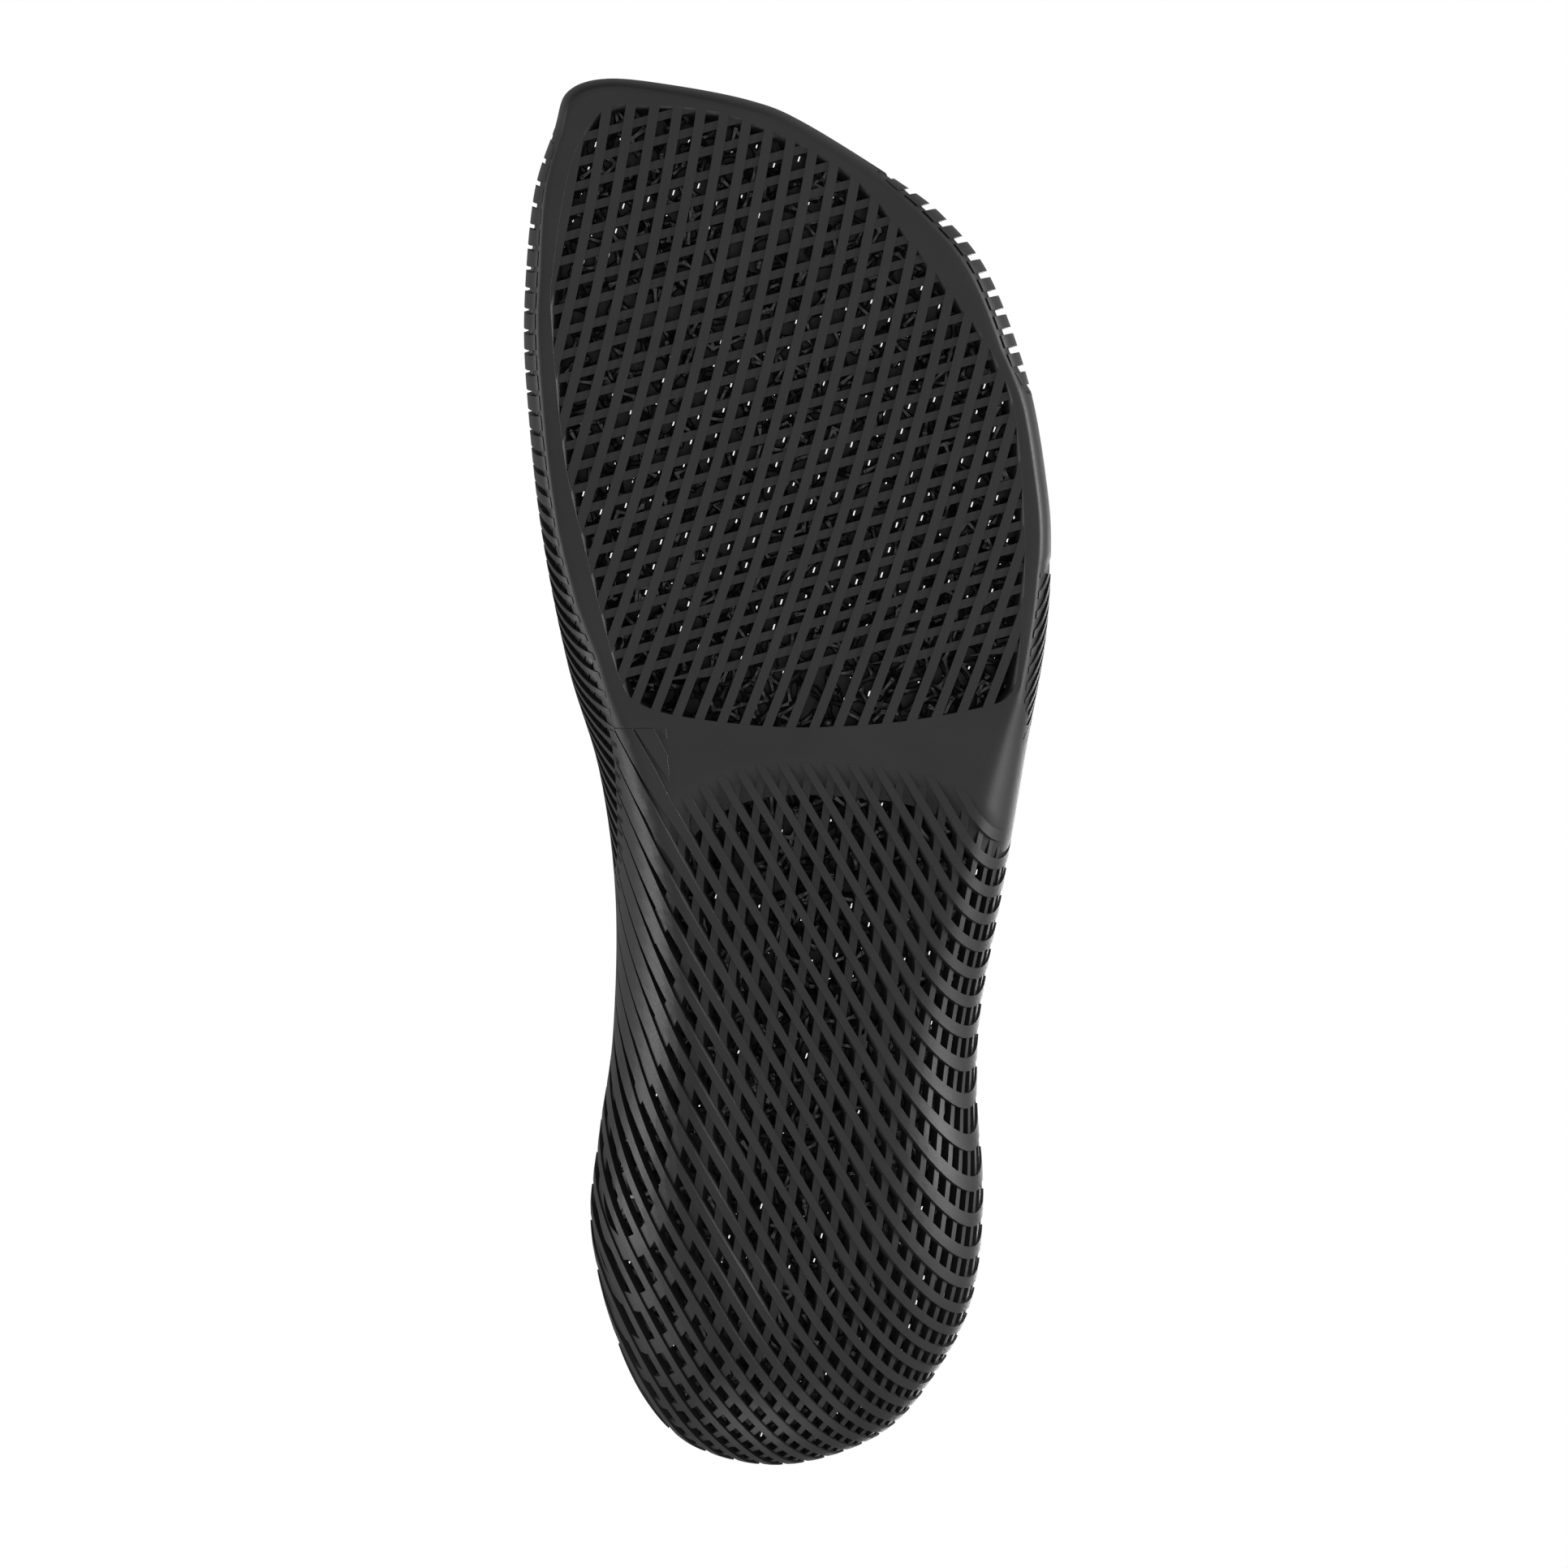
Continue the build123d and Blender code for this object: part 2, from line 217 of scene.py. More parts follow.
def inside(line, p):
    """True for points inside a closed line."""
    a, b = line, np.roll(line, -1, 0)
    result = np.zeros(len(p), bool)
    for (ax, ay), (bx, by) in zip(a, b):
        crosses = (ay > p[:, 1]) != (by > p[:, 1])
        if crosses.any():
            x = ax + (p[:, 1] - ay) / (by - ay + 1e-12) * (bx - ax)
            result ^= crosses & (p[:, 0] < x)
    return result


def distance_to(line, p):
    """Distance to a closed line, below zero inside it."""
    a, b = line, np.roll(line, -1, 0)
    e = b - a
    best = np.full(len(p), 1e9)
    for start in range(0, len(p), 4000):
        s = slice(start, start + 4000)
        t = ((p[s, None] - a[None]) * e[None]).sum(2) / (e * e).sum(1)[None]
        q = a[None] + np.clip(t, 0, 1)[..., None] * e[None]
        best[s] = np.linalg.norm(p[s, None] - q, axis=2).min(1)
    return np.where(inside(line, p), -best, best)


# ---------------------------------------------------------------- surfaces and cuts
class Surface:
    """A triangle mesh as plain arrays, with a clean cut along any level of a value."""

    def __init__(self, points, faces, flipped=False):
        self.points, self.faces, self.flipped = points, faces, flipped

    def cut(self, values, both):
        """Cuts where the values, one at each point, pass zero. Keeps what is below it, or both."""
        points, faces = self.points, self.faces
        low = values < 0
        count = low[faces].sum(1)
        mixed = (count == 1) | (count == 2)
        some, lows = faces[mixed], low[faces[mixed]]
        single = count[mixed] == 1
        odd = np.where(single, np.argmax(lows, 1), np.argmin(lows, 1))
        row = np.arange(len(some))
        i, j, m = some[row, odd], some[row, (odd + 1) % 3], some[row, (odd + 2) % 3]
        pairs = np.sort(np.vstack([np.column_stack([i, j]), np.column_stack([i, m])]), 1)
        edges, which = np.unique(pairs, axis=0, return_inverse=True)
        which = which.reshape(-1) + len(points)
        p, q = which[:len(some)], which[len(some):]
        a, b = edges[:, 0], edges[:, 1]
        t = (values[a] / (values[a] - values[b]))[:, None]
        points = np.vstack([points, points[a] + t * (points[b] - points[a])])
        tip = np.column_stack([i, p, q])
        rest = [np.column_stack([p, j, m]), np.column_stack([p, m, q])]
        if both:
            parts = [faces[~mixed], tip] + rest
        else:
            parts = [faces[count == 3], tip[single]] + [r[~single] for r in rest]
        faces = np.vstack(parts)
        used, index = np.unique(faces, return_inverse=True)
        return Surface(points[used], index.reshape(-1, 3))

    def keep(self, values):
        return self.cut(values, False)


def ringed(rings, flip=False):
    """A surface from rings of the same number of points."""
    n, m = len(rings[0]), len(rings)
    points = np.vstack(rings)
    i, j = np.meshgrid(np.arange(m - 1), np.arange(n), indexing="ij")
    a, b = i * n + j, i * n + (j + 1) % n
    c, d = (i + 1) * n + (j + 1) % n, (i + 1) * n + j
    quads = np.stack([a, b, c, d], -1).reshape(-1, 4)
    if flip:
        quads = quads[:, ::-1]
    faces = np.vstack([quads[:, [0, 1, 2]], quads[:, [0, 2, 3]]])
    return Surface(points, faces, flip)


def closed_middle(surface, count):
    """Fills the narrow loop that the last ring leaves open along the spine."""
    base = len(surface.points) - count
    loop = surface.points[base:]
    fill = np.array(tessellate_polygon([[Vector(p) for p in loop]]))
    a, b, c = loop[fill[:, 0], :2], loop[fill[:, 1], :2], loop[fill[:, 2], :2]
    upward = (b - a)[:, 0] * (c - a)[:, 1] - (b - a)[:, 1] * (c - a)[:, 0] > 0
    wrong = upward == surface.flipped
    fill[wrong] = fill[wrong][:, ::-1]
    surface.faces = np.vstack([surface.faces, fill + base])
    return surface


def underside(offset):
    """The sole, its rounded wall and the upright edge, as one surface pulled in by offset."""
    edge = sided(EDGE_HEIGHT, RIM)
    top = inward(RIM, offset)
    cup = edge - along(THICKNESS, RIM[:, 1])
    low, high = EDGE_START * edge, edge - EDGE_CAP - CUP_CAP * cup
    rings = [np.column_stack([top, high + (low - high) * share]) for share in (0, 0.33, 0.67)]
    rings += [wall_ring(t, offset) for t in np.linspace(0, 1, WALL_STEPS)]
    foot, middle = rings[-1], spine_points(RIM)
    for t in np.linspace(0, LAST_RING, SOLE_STEPS)[1:]:
        xy = foot[:, :2] * (1 - t) + middle * t
        rings.append(np.column_stack([xy, foot[:, 2]]))
    return closed_middle(ringed(rings, flip=True), len(RIM))


def footbed_surface(start_inset):
    """The surface that the foot rests on, from an inset to the spine."""
    foot = inward(RIM, start_inset)
    middle = spine_points(RIM)
    far = np.linalg.norm(RIM - middle, axis=1)
    rings = []
    for t in np.linspace(0, LAST_RING, FOOTBED_STEPS):
        xy = foot * (1 - t) + middle * t
        out = np.linalg.norm(xy - middle, axis=1) / far
        rings.append(np.column_stack([xy, footbed_z(xy, out)]))
    return closed_middle(ringed(rings), len(RIM))


def wall_layer(offset, depth):
    """The underside as a layer: each point also carries the point behind it, at the depth."""
    front, back = underside(offset), underside(offset + depth)
    return Surface(np.column_stack([front.points, back.points]), front.faces)


def flat_sheet(low, high):
    """A plain grid of triangles in the plan, from one corner to the other."""
    xs, ys = (np.arange(a, b + SHEET_STEP, SHEET_STEP) for a, b in zip(low, high))
    grid = np.stack(np.meshgrid(xs, ys, indexing="ij"), -1)
    n, m = len(xs), len(ys)
    points = grid.reshape(-1, 2)
    i, j = np.meshgrid(np.arange(n - 1), np.arange(m - 1), indexing="ij")
    a, b = i * m + j, (i + 1) * m + j
    quads = np.stack([a, a + 1, b + 1, b], -1).reshape(-1, 4)
    return Surface(points, np.vstack([quads[:, [0, 1, 2]], quads[:, [0, 2, 3]]]))


def strap_cuts(surface, across, centres, width):
    """Strips of a surface. Across gives the value that is measured over the straps, whose middle
    lines lie at the centres; width is a number or a function of the points, in the same measure."""
    s = Surface(np.column_stack([surface.points, across(surface.points)]), surface.faces)
    low, high = s.points[:, -1].min(), s.points[:, -1].max()
    centres = np.sort(np.array([c for c in centres if low - 9 < c < high + 9]))
    for level in np.concatenate([centres, (centres[1:] + centres[:-1]) / 2]):
        if low < level < high:
            s = s.cut(s.points[:, -1] - level, True)
    away = np.abs(s.points[:, -1, None] - centres[None]).min(1)
    wide = width(s.points) if callable(width) else width
    s = s.keep(away - wide / 2)
    return Surface(s.points[:, :-1], s.faces)


def plane(normal):
    """Flat cuts: the value grows along the normal."""
    return lambda p: p[:, :3] @ np.array(normal, float)


def smooth(low, high, x):
    """Rises gently from 0 at low to 1 at high."""
    t = np.clip((x - low) / (high - low), 0, 1)
    return t * t * (3 - 2 * t)


# ---------------------------------------------------------------- materials
def group(name, inputs, outputs):
    """An empty node group with named sockets."""
    tree = bpy.data.node_groups.new(name, "ShaderNodeTree")
    for label, default in inputs:
        socket = tree.interface.new_socket(label, in_out="INPUT", socket_type="NodeSocketFloat")
        socket.default_value = default
    for label in outputs:
        tree.interface.new_socket(label, in_out="OUTPUT", socket_type="NodeSocketFloat")
    return tree, tree.nodes.new("NodeGroupInput"), tree.nodes.new("NodeGroupOutput")


def math_node(nodes, links, operation, a, b):
    node = nodes.new("ShaderNodeMath")
    node.operation = operation
    for socket, value in zip(node.inputs, (a, b)):
        if isinstance(value, (int, float)):
            socket.default_value = value
        else:
            links.new(value, socket)
    return node.outputs[0]


def grain_group():
    """Fine powdery grain of a sintered part: a height for the bump and an even speckle."""
    tree, source, sink = group("printed_grain", [("Scale", 1500.0), ("Depth", 0.5)],
                               ["Height", "Speckle"])
    nodes, links = tree.nodes, tree.links
    place = nodes.new("ShaderNodeTexCoord")
    fine = nodes.new("ShaderNodeTexNoise")
    fine.inputs["Detail"].default_value = 3.0
    fine.inputs["Roughness"].default_value = 0.65
    links.new(place.outputs["Object"], fine.inputs["Vector"])
    links.new(source.outputs["Scale"], fine.inputs["Scale"])
    links.new(math_node(nodes, links, "MULTIPLY", fine.outputs[0], source.outputs["Depth"]),
              sink.inputs["Height"])
    links.new(fine.outputs[0], sink.inputs["Speckle"])
    return tree


def mottle_group():
    """Broad, faint unevenness of the dyed skin."""
    tree, source, sink = group("dye_mottle", [("Scale", 60.0), ("Low", 0.3), ("High", 0.7)],
                               ["Mask"])
    nodes, links = tree.nodes, tree.links
    place = nodes.new("ShaderNodeTexCoord")
    broad = nodes.new("ShaderNodeTexNoise")
    broad.inputs["Detail"].default_value = 2.0
    links.new(place.outputs["Object"], broad.inputs["Vector"])
    links.new(source.outputs["Scale"], broad.inputs["Scale"])
    spread = nodes.new("ShaderNodeMapRange")
    links.new(broad.outputs[0], spread.inputs["Value"])
    links.new(source.outputs["Low"], spread.inputs["From Min"])
    links.new(source.outputs["High"], spread.inputs["From Max"])
    links.new(spread.outputs[0], sink.inputs["Mask"])
    return tree


GRAIN, MOTTLE = grain_group(), mottle_group()
ROUGH_SPREAD = 0.08
BLACK, WORN_BLACK = (0.0085, 0.0085, 0.0088), (0.0115, 0.0115, 0.012)


def printed_material(name, dark, light, rough, gloss, grain_scale, grain_depth):
    """Dyed black printed rubber, matte, with powdery grain."""
    material = bpy.data.materials.new(name)
    material.use_nodes = True
    nodes, links = material.node_tree.nodes, material.node_tree.links
    shader = nodes["Principled BSDF"]
    shader.inputs["Specular IOR Level"].default_value = gloss
    grain = nodes.new("ShaderNodeGroup")
    grain.node_tree = GRAIN
    grain.inputs["Scale"].default_value = grain_scale
    grain.inputs["Depth"].default_value = grain_depth
    mottle = nodes.new("ShaderNodeGroup")
    mottle.node_tree = MOTTLE
    colour = nodes.new("ShaderNodeMix")
    colour.data_type = "RGBA"
    colour.inputs["A"].default_value = (*dark, 1)
    colour.inputs["B"].default_value = (*light, 1)
    links.new(mottle.outputs["Mask"], colour.inputs["Factor"])
    links.new(colour.outputs["Result"], shader.inputs["Base Color"])
    rougher = nodes.new("ShaderNodeMapRange")
    rougher.inputs["To Min"].default_value = rough - ROUGH_SPREAD
    rougher.inputs["To Max"].default_value = rough + ROUGH_SPREAD
    links.new(grain.outputs["Speckle"], rougher.inputs["Value"])
    links.new(rougher.outputs[0], shader.inputs["Roughness"])
    bump = nodes.new("ShaderNodeBump")
    bump.inputs["Strength"].default_value = 0.35
    bump.inputs["Distance"].default_value = 0.00008
    links.new(grain.outputs["Height"], bump.inputs["Height"])
    links.new(bump.outputs[0], shader.inputs["Normal"])
    return material


SKIN = printed_material("black_printed_skin", BLACK, WORN_BLACK, 0.52, 0.3, 1800.0, 0.6)
STRAP_SKIN = printed_material("black_strap_skin", BLACK, WORN_BLACK, 0.5, 0.3, 2200.0, 0.7)
# The strut material is the same black print, with its base colour set lighter than the skin's:
# painted light that brightens struts lying in shade inside the lattice.
CORE_PAINTED_LIGHTER = printed_material("core_struts_painted_lighter", (0.012, 0.012, 0.0123), (0.018, 0.018, 0.0185),
                        0.4, 0.5, 2600.0, 0.7)


# ---------------------------------------------------------------- making pieces
def add_piece(name, points, faces, material, nodes=()):
    """A mesh object on the insole's body, in place of the CAD nodes it stands for."""
    mesh = bpy.data.meshes.new(name)
    mesh.from_pydata((points * MM).tolist(), [], faces.tolist())
    mesh.validate()
    mesh.materials.append(material)
    mesh.shade_smooth()
    mesh.set_sharp_from_angle(angle=math.radians(40))
    piece = bpy.data.objects.new(name, mesh)
    bpy.context.scene.collection.objects.link(piece)
    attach(piece, "root")
    if nodes:
        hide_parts(*nodes)
    return piece


def merged(surface, gap=0.04):
    """Joins points that cuts left side by side, and drops the triangles this closes up."""
    cell = np.round(surface.points[:, :3] / gap).astype(int)
    _, first, index = np.unique(cell, axis=0, return_index=True, return_inverse=True)
    faces = index.reshape(-1)[surface.faces]
    a, b, c = faces.T
    faces = faces[(a != b) & (b != c) & (a != c)]
    return surface.points[first], faces


def add_layer(name, surface, material, node):
    """A solid piece from a surface whose points carry the point behind them."""
    points, faces = merged(surface)
    n = len(points)
    sides = np.vstack([faces[:, [0, 1]], faces[:, [1, 2]], faces[:, [2, 0]]])
    key = np.sort(sides, 1)
    _, index, count = np.unique(key, axis=0, return_inverse=True, return_counts=True)
    free = sides[count[index.reshape(-1)] == 1]
    a, b = free.T
    walls = np.vstack([np.column_stack([b, a, a + n]), np.column_stack([b, a + n, b + n])])
    every = np.vstack([faces, faces[:, ::-1] + n, walls])
    solid = np.vstack([points[:, :3], points[:, 3:6]])
    return add_piece(name, solid, every, material, [node] if node else [])


def beyond_arch(xy):
    """Below zero on the toe side of the arch, where the plate is: the distance from its edge."""
    ends = [(-60, -60)] + HEEL_ARCH + [(60, -70), (60, -170), (-60, -170)]
    return -distance_to(closed_spline(ends, 500), xy)


def frame_and_plate():
    """The rim round the forefoot and the bridge behind it are one smooth skin, cut in two."""
    skin, deeper = underside(0.0), underside(1.0)
    p = skin.points
    xy, inset = p[:, :2], inset_of(p[:, :2])
    limit = sided(FRAME_INSET, xy)
    from_edge = np.clip((inset - limit) / EDGE_ROUND, 0.02, 1)
    outer = smooth(10, -10, p[:, 0])
    lift = (0.7 + 1.3 * outer) * (1 - np.sqrt(1 - (1 - from_edge) ** 2)) * (limit > 0.2)
    lift *= p[:, 1] > -30
    near_arch = beyond_arch(xy)
    sink = 0.9 * smooth(-7, 0, near_arch) * (p[:, 1] < 6)
    sink = np.maximum(sink, 0.35 * smooth(21, 27, p[:, 0]) * smooth(8.7, 7.5, p[:, 1]))
    way = deeper.points - p
    p = p + way * sink[:, None]
    p[:, 2] += lift
    skin = Surface(np.column_stack([p, p + way * SKIN_DEPTH, limit - inset, near_arch]),
                   skin.faces)
    skin = skin.keep(PLATE_TAIL - skin.points[:, 1])
    skin = skin.keep(-distance_to(WINDOW_LINE, skin.points[:, :2]))
    skin = skin.keep(skin.points[:, 6])
    x, y = skin.points[:, 0], skin.points[:, 1]
    plain_side = smooth(36, 42, y) * smooth(75, 71, y) * (x < 0)
    toe = np.where(x > 30, smooth(122, 126, y), smooth(114, 118, y))
    top = FRAME_TOP + 7 * np.maximum(toe, plain_side)
    skin = skin.keep(np.where(skin.points[:, 1] > PLATE_END, skin.points[:, 2] - top,
                              skin.points[:, 7]))
    y = skin.points[:, 1]
    add_layer("forefoot_frame_rim", skin.keep(PLATE_END - y), SKIN, "forefoot_frame")
    add_layer("midfoot_bridge_plate", skin.keep(y - PLATE_END), SKIN, "midfoot_plate")


def fan_across(p):
    """The long straps lean more and more towards the heel."""
    t = 108.5 - p[:, 1]
    return p[:, 0] - 0.19 * t - 0.00105 * t * t


def cross_stations(low, high):
    """The cross straps' places along the foot; they lie closer towards the heel."""
    y, found = high, []
    while y > low:
        found.append(y)
        y -= float(along(CROSS_PITCH, y))
    return found


def strap_layer(sheet, z):
    """The flat sheet at a height, with the strap's depth above it."""
    xy = sheet.points[:, :2]
    front, back = np.full(len(xy), z), np.full(len(xy), z + STRAP)
    return Surface(np.column_stack([xy, front, xy, back]), sheet.faces)


def forefoot_straps():
    """The long straps nearest the ground, and the cross straps behind them."""
    sheet = flat_sheet((-50, 0), (50, 135))
    sheet = sheet.keep(distance_to(WINDOW_LINE, sheet.points[:, :2]) - 1.0)
    centres = [-75 + i * LONG_PITCH for i in range(34)]
    straps = strap_cuts(strap_layer(sheet, FIRST_LAYER), fan_across, centres, LONG_WIDTH)
    add_layer("forefoot_long_strap_set", straps, STRAP_SKIN, "forefoot_long_straps")
    sheet = sheet.keep(19.5 - sheet.points[:, 1] - 0.08 * sheet.points[:, 0])
    straps = strap_cuts(strap_layer(sheet, SECOND_LAYER), plane((CROSS_LEAN, 1, 0)),
                        cross_stations(0, 145), CROSS_WIDTH)
    add_layer("forefoot_cross_strap_set", straps, STRAP_SKIN, "forefoot_cross_straps")


def heel_outer_width(p):
    """The outer straps broaden on the wall below the arch of the foot, until they almost meet."""
    arch = smooth(17, 31, p[:, 0]) * smooth(-78, -42, p[:, 1])
    return (HEEL_OUTER_WIDTH + 2.0 * arch) * 1.166


def heel_straps():
    """The two strap families that wrap the heel, the outer one broader on the wall."""
    centres = [i * HEEL_PITCH for i in range(-30, 60)]
    shell = wall_layer(0.0, STRAP)
    shell = shell.keep(shell.points[:, 1] - 8.4)
    far = 6.2 + 60 * smooth(22, 26, shell.points[:, 0])
    shell = shell.keep(-beyond_arch(shell.points[:, :2]) - far)
    shell = shell.keep(sided(FRAME_INSET, shell.points[:, :2]) - inset_of(shell.points[:, :2]))
    straps = strap_cuts(shell, plane(CUT_HEEL_OUTER), centres, heel_outer_width)
    add_layer("heel_outer_strap_set", straps, STRAP_SKIN, "heel_outer_straps")
    shell = wall_layer(SECOND_LAYER, STRAP)
    shell = shell.keep(-beyond_arch(shell.points[:, :2]) - 4.5)
    straps = strap_cuts(shell, plane(CUT_HEEL_INNER), centres, HEEL_INNER_WIDTH)
    add_layer("heel_inner_strap_set", straps, STRAP_SKIN, "heel_inner_straps")


def rib_across(p):
    """The ribs climb towards the toe along the arch, and stand nearly upright further forward."""
    lean = 1.0 - 0.85 * smooth(20, 75, p[:, 1])
    return CROSS_LEAN * p[:, 0] + p[:, 1] - lean * p[:, 2]


def back_across(p):
    """The straps behind the ribs lean the other way."""
    return CROSS_LEAN * p[:, 0] + p[:, 1] + 1.2 * p[:, 2]


def inner_rib_width(p):
    """Slender along the arch, broad and close beside the ball of the foot."""
    return RIB_WIDTH + 1.5 * smooth(40, 62, p[:, 1])


def wall_band(offset, depth, reach):
    """What the smooth skin leaves open of the side walls."""
    shell = wall_layer(offset, depth)
    xy = shell.points[:, :2]
    limit = sided(FRAME_INSET, xy)
    shell = shell.keep(inset_of(xy) - np.maximum(limit, 0) - reach)
    limit = sided(FRAME_INSET, shell.points[:, :2])
    shell = shell.keep(np.where(limit > 0, -9.0, 4.0 - shell.points[:, 2]))
    shell = shell.keep(0.45 - shell.points[:, 2])
    return shell.keep(-25.0 - shell.points[:, 1])


def side_ribs():
    """The ribs that climb both side walls, broad and tooth-like round the small toes."""
    band = wall_band(0.0, RIB_DEPTH, 1.0)
    inner = band.keep(WALLS_PART - band.points[:, 0])
    inner = inner.keep(inner.points[:, 1] - 123)
    outer = band.keep(band.points[:, 0] - WALLS_PART)
    outer = outer.keep(PLATE_END - 3 - outer.points[:, 1])
    plain = outer.keep(outer.points[:, 1] - RIBS_END)
    deep = wall_band(0.0, TOOTH_DEPTH, 1.0)
    deep = deep.keep(deep.points[:, 0] - WALLS_PART)
    teeth = deep.keep(np.maximum(TEETH[0] - deep.points[:, 1], deep.points[:, 1] - TEETH[1]))
    centres = cross_stations(-60, 160)
    even = [i * TOOTH_PITCH for i in range(-20, 60)]
    upright = plane((CROSS_LEAN, 1, 0))
    for name, part, across, lines, width, node in (
            ("inner_side_rib_set", inner, rib_across, even, inner_rib_width, "inner_side_ribs"),
            ("outer_side_rib_set", plain, rib_across, centres, RIB_WIDTH, "outer_side_ribs"),
            ("little_toe_teeth", teeth, upright, even, TOOTH_WIDTH, None)):
        add_layer(name, strap_cuts(part, across, lines, width), STRAP_SKIN, node)
    back = wall_band(0.9, 0.9, 2.5)
    back = back.keep(np.where(back.points[:, 0] < WALLS_PART, back.points[:, 1] - 40,
                              back.points[:, 1] - 122))
    centres = [i * BACKING_PITCH for i in range(-30, 70)]
    straps = strap_cuts(back, back_across, centres, BACKING_WIDTH)
    # The backing straps take the struts' lighter base colour, which is painted light.
    add_layer("wall_backing_strap_set", straps, CORE_PAINTED_LIGHTER, None)


def footbed_straps():
    """The two families of slats that the foot rests on."""
    top = footbed_surface(COLLAR_INSET + 1.0)
    for name, cut, drop, width, node in (
            ("footbed_upper_strap_set", CUT_FOOTBED_UPPER, 0.0, FOOTBED_WIDTH,
             "footbed_upper_straps"),
            ("footbed_lower_strap_set", CUT_FOOTBED_LOWER, SECOND_LAYER, FOOTBED_LOWER_WIDTH,
             "footbed_lower_straps")):
        xy, z = top.points[:, :2], top.points[:, 2]
        layer = Surface(np.column_stack([xy, z - drop, xy, z - drop - STRAP]), top.faces)
        centres = [i * FOOTBED_PITCH for i in range(-40, 40)]
        add_layer(name, strap_cuts(layer, plane(cut), centres, width), STRAP_SKIN, node)


def squared_off(value):
    """Turns a circle's cosine or sine into that of a rounded square."""
    return math.copysign(abs(value) ** 0.6, value)


def make_collar():
    """A soft-edged band along the top of the wall."""
    far = np.linalg.norm(RIM - spine_points(RIM), axis=1)
    rings = []
    outer = sided(COLLAR_OUTER, RIM)
    for angle in np.linspace(0, 2 * math.pi, COLLAR_SIDES, endpoint=False):
        across = squared_off(math.cos(angle))
        up = squared_off(math.sin(angle)) * COLLAR_HEIGHT / 2
        inset = outer + (COLLAR_INNER - outer) * (1 + across) / 2
        xy = inward(RIM, inset)
        z = footbed_z(xy, 1 - inset / far) - COLLAR_HEIGHT / 2 + up
        rings.append(np.column_stack([xy, z]))
    rings.append(rings[0])
    points, faces = merged(ringed(rings), 0.01)
    add_piece("footbed_edge_collar", points, faces, SKIN, ["wall_collar"])


def strut_points(rng, size, jitter):
    """The joints of a diamond-like open lattice, turned, tipped and shaken."""
    base = np.array([(0, 0, 0), (0, 2, 2), (2, 0, 2), (2, 2, 0),
                     (1, 1, 1), (1, 3, 3), (3, 1, 3), (3, 3, 1)], float) * size / 4
    cells = np.stack(np.meshgrid(np.arange(-26, 27), np.arange(-26, 27), np.arange(-22, 23),
                                 indexing="ij"), -1).reshape(-1, 3) * size
    points = (cells[:, None] + base[None]).reshape(-1, 3)
    c, s = math.cos(LATTICE_TURN), math.sin(LATTICE_TURN)
    points = points @ np.array([(c, -s, 0), (s, c, 0), (0, 0, 1)]).T
    c, s = math.cos(LATTICE_TIP), math.sin(LATTICE_TIP)
    points = points @ np.array([(1, 0, 0), (0, c, -s), (0, s, c)]).T
    points = points[(np.abs(points[:, 0]) < 52) & (np.abs(points[:, 1]) < 134)
                    & (points[:, 2] > -1) & (points[:, 2] < 32)]
    points = points[rng.permutation(len(points))]
    return points + rng.normal(0, jitter, points.shape)


def make_core(name, low_y, high_y, node, size, thick):
    """The cushion: struts with swollen joints, between the sole straps and the footbed."""
    rng = np.random.default_rng(SEED)
    points = strut_points(rng, size, size * SHAKE)
    points = points[(points[:, 1] > low_y) & (points[:, 1] < high_y)
                    & (np.abs(points[:, 0]) < 50)]
    inset = inset_of(points[:, :2])
    rounding = sided(ROUNDING, points[:, :2])
    height = EDGE_START * sided(EDGE_HEIGHT, points[:, :2])
    side = np.clip(1 - (inset - CORE_ROOM) / rounding, 0, 1)
    floor = CORE_FLOOR + height * (1 - np.sqrt(1 - side ** 2))
    far = np.linalg.norm(points[:, :2] - spine_points(points[:, :2]), axis=1)
    roof = footbed_z(points[:, :2], far / (far + inset)) - CORE_ROOM
    good = (inset > CORE_INSET) & (points[:, 2] > floor - 1.0) & (points[:, 2] < roof + 1.0)
    points, floor, roof = points[good], floor[good], roof[good]
    points[:, 2] = np.clip(points[:, 2], floor, np.maximum(roof, floor + 0.3))
    near = size * math.sqrt(3) / 4 * LINK_REACH
    tubes = []
    for i, p in enumerate(points):
        d = np.linalg.norm(points - p, axis=1)
        close = [j for j in np.argsort(d)[1:5] if d[j] < near and i < j]
        tubes += [(p, points[j]) for j in close if d[j] > 0.8]
    surface = struts(tubes, thick)
    piece = add_piece(name, surface.points, surface.faces, CORE_PAINTED_LIGHTER, [node])


def struts(tubes, thick):
    """Tubes that swell at both ends, all in one mesh."""
    sides = STRUT_SIDES
    starts, ends = np.array([a for a, _ in tubes]), np.array([b for _, b in tubes])
    way = ends - starts
    length = np.linalg.norm(way, axis=1)[:, None]
    way = way / length
    helper = np.where(np.abs(way[:, 2:]) < 0.9, (0, 0, 1.0), (1.0, 0, 0))
    u = np.cross(way, helper)
    u /= np.linalg.norm(u, axis=1)[:, None]
    v = np.cross(way, u)
    stations = [(-0.16, 0.35), (-0.08, 1.25), (0.12, 1.12), (0.32, 0.82), (0.68, 0.82),
                (0.88, 1.12), (1.08, 1.25), (1.16, 0.35)]
    rings = []
    for share, swell in stations:
        for k in range(sides):
            a = 2 * math.pi * k / sides
            rings.append(starts + way * length * share
                         + (u * math.cos(a) + v * math.sin(a)) * thick / 2 * swell)
    per = len(stations) * sides
    points = np.stack(rings, 1).reshape(-1, 3)
    faces = []
    for r in range(len(stations) - 1):
        for k in range(sides):
            a, b = r * sides + k, r * sides + (k + 1) % sides
            faces += [(a, b, b + sides), (a, b + sides, a + sides)]
    last = per - sides
    for k in range(1, sides - 1):
        faces += [(0, k + 1, k), (last, last + k, last + k + 1)]
    one = np.array(faces)
    every = (one[None] + per * np.arange(len(tubes))[:, None, None]).reshape(-1, 3)
    return Surface(points, every)


